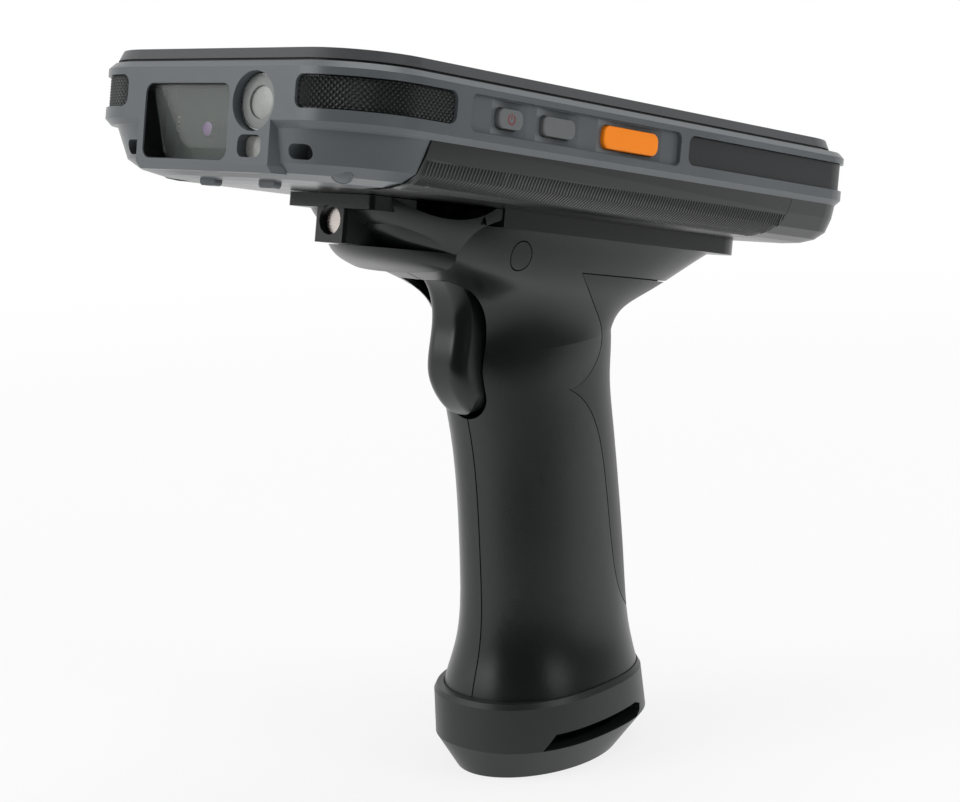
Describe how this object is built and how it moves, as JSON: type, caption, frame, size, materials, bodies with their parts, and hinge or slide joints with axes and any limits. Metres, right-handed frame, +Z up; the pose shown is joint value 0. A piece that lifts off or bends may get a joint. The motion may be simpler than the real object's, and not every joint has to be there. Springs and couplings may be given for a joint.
{
  "type": "handheld data terminal with pistol grip",
  "caption": "Rugged handheld computer with a touch screen and a scanning head, held nose up on a pistol grip with a finger trigger and a rubber foot.",
  "frame": {"origin": "centre of the grip's flat underside", "axes": "+Z up along the grip, -Y toward the scanning head, +X toward the side with the power and function keys"},
  "size_m": [0.08, 0.1702, 0.1641],
  "materials": {
    "frame_plastic": "satin blue-grey",
    "bezel_plastic": "satin dark grey",
    "housing_plastic": "fine texture",
    "grip_plastic": "fine texture, charcoal",
    "rubber": "matt",
    "screen_glass": "glossy black",
    "window_glass": "dark tinted",
    "lens_glass": "clear",
    "orange_key": "satin orange",
    "grey_key": "satin grey",
    "steel": "brushed",
    "ring_metal": "anodised grey",
    "board": "solder mask",
    "module": "moulded",
    "cell": "sleeved pack"
  },
  "bodies": {
    "handset": {"mid_frame": "frame_plastic", "back_housing": "housing_plastic", "battery_door": "housing_plastic", "front_bezel": "bezel_plastic", "touch_glass": "screen_glass", "display_module": "module", "main_board": "board", "key_board_right": "board", "key_board_left": "board", "battery_pack": "cell", "scan_window": "window_glass", "scan_engine": "module", "camera_module": "module", "camera_ring": "ring_metal", "camera_glass": "lens_glass", "flash_lens": "lens_glass", "cradle_plate": "grip_plastic", "cradle_screws": "steel", "contact_block": "module", "shroud_screws": "steel", "latch_spring": "steel", "head_pad_right": "rubber", "head_pad_left": "rubber", "tail_pad_right": "rubber", "tail_pad_left": "rubber", "grip_shell_left": "grip_plastic", "grip_shell_right": "grip_plastic", "front_shroud": "grip_plastic", "rear_grip_pad": "rubber", "trigger_pin": "steel", "trigger_board": "board", "trigger_spring": "steel", "trigger_switch": "module", "shell_screws": "steel", "side_plug_right": "grip_plastic", "side_plug_left": "grip_plastic", "base_boot": "rubber"},
    "trigger": {"trigger": "grip_plastic"},
    "power_key": {"power_key": "grey_key"},
    "function_key": {"function_key": "grey_key"},
    "scan_key_right": {"scan_key_right": "orange_key"},
    "volume_key": {"volume_key": "grey_key"},
    "scan_key_left": {"scan_key_left": "orange_key"},
    "latch_button": {"latch_button": "steel"}
  },
  "joints": [
    {"name": "trigger_pull", "type": "hinge", "parent": "handset", "child": "trigger", "pos_m": [0, -0.0195, 0.1098], "axis": [1, 0, 0], "range_deg": [0, 7], "stiffness_Nm_per_rad": 0.3},
    {"name": "power_key_press", "type": "slide", "parent": "handset", "child": "power_key", "axis": [-1, 0, 0], "range_m": [0, 0.0004], "stiffness_N_per_m": 800},
    {"name": "function_key_press", "type": "slide", "parent": "handset", "child": "function_key", "axis": [-1, 0, 0], "range_m": [0, 0.0004], "stiffness_N_per_m": 800},
    {"name": "scan_key_right_press", "type": "slide", "parent": "handset", "child": "scan_key_right", "axis": [-1, 0, 0], "range_m": [0, 0.0004], "stiffness_N_per_m": 800},
    {"name": "volume_key_press", "type": "slide", "parent": "handset", "child": "volume_key", "axis": [1, 0, 0], "range_m": [0, 0.0004], "stiffness_N_per_m": 800},
    {"name": "scan_key_left_press", "type": "slide", "parent": "handset", "child": "scan_key_left", "axis": [1, 0, 0], "range_m": [0, 0.0004], "stiffness_N_per_m": 800},
    {"name": "latch_press", "type": "slide", "parent": "handset", "child": "latch_button", "axis": [0, 0.9816, -0.1908], "range_m": [0, 0.002], "stiffness_N_per_m": 500}
  ]
}
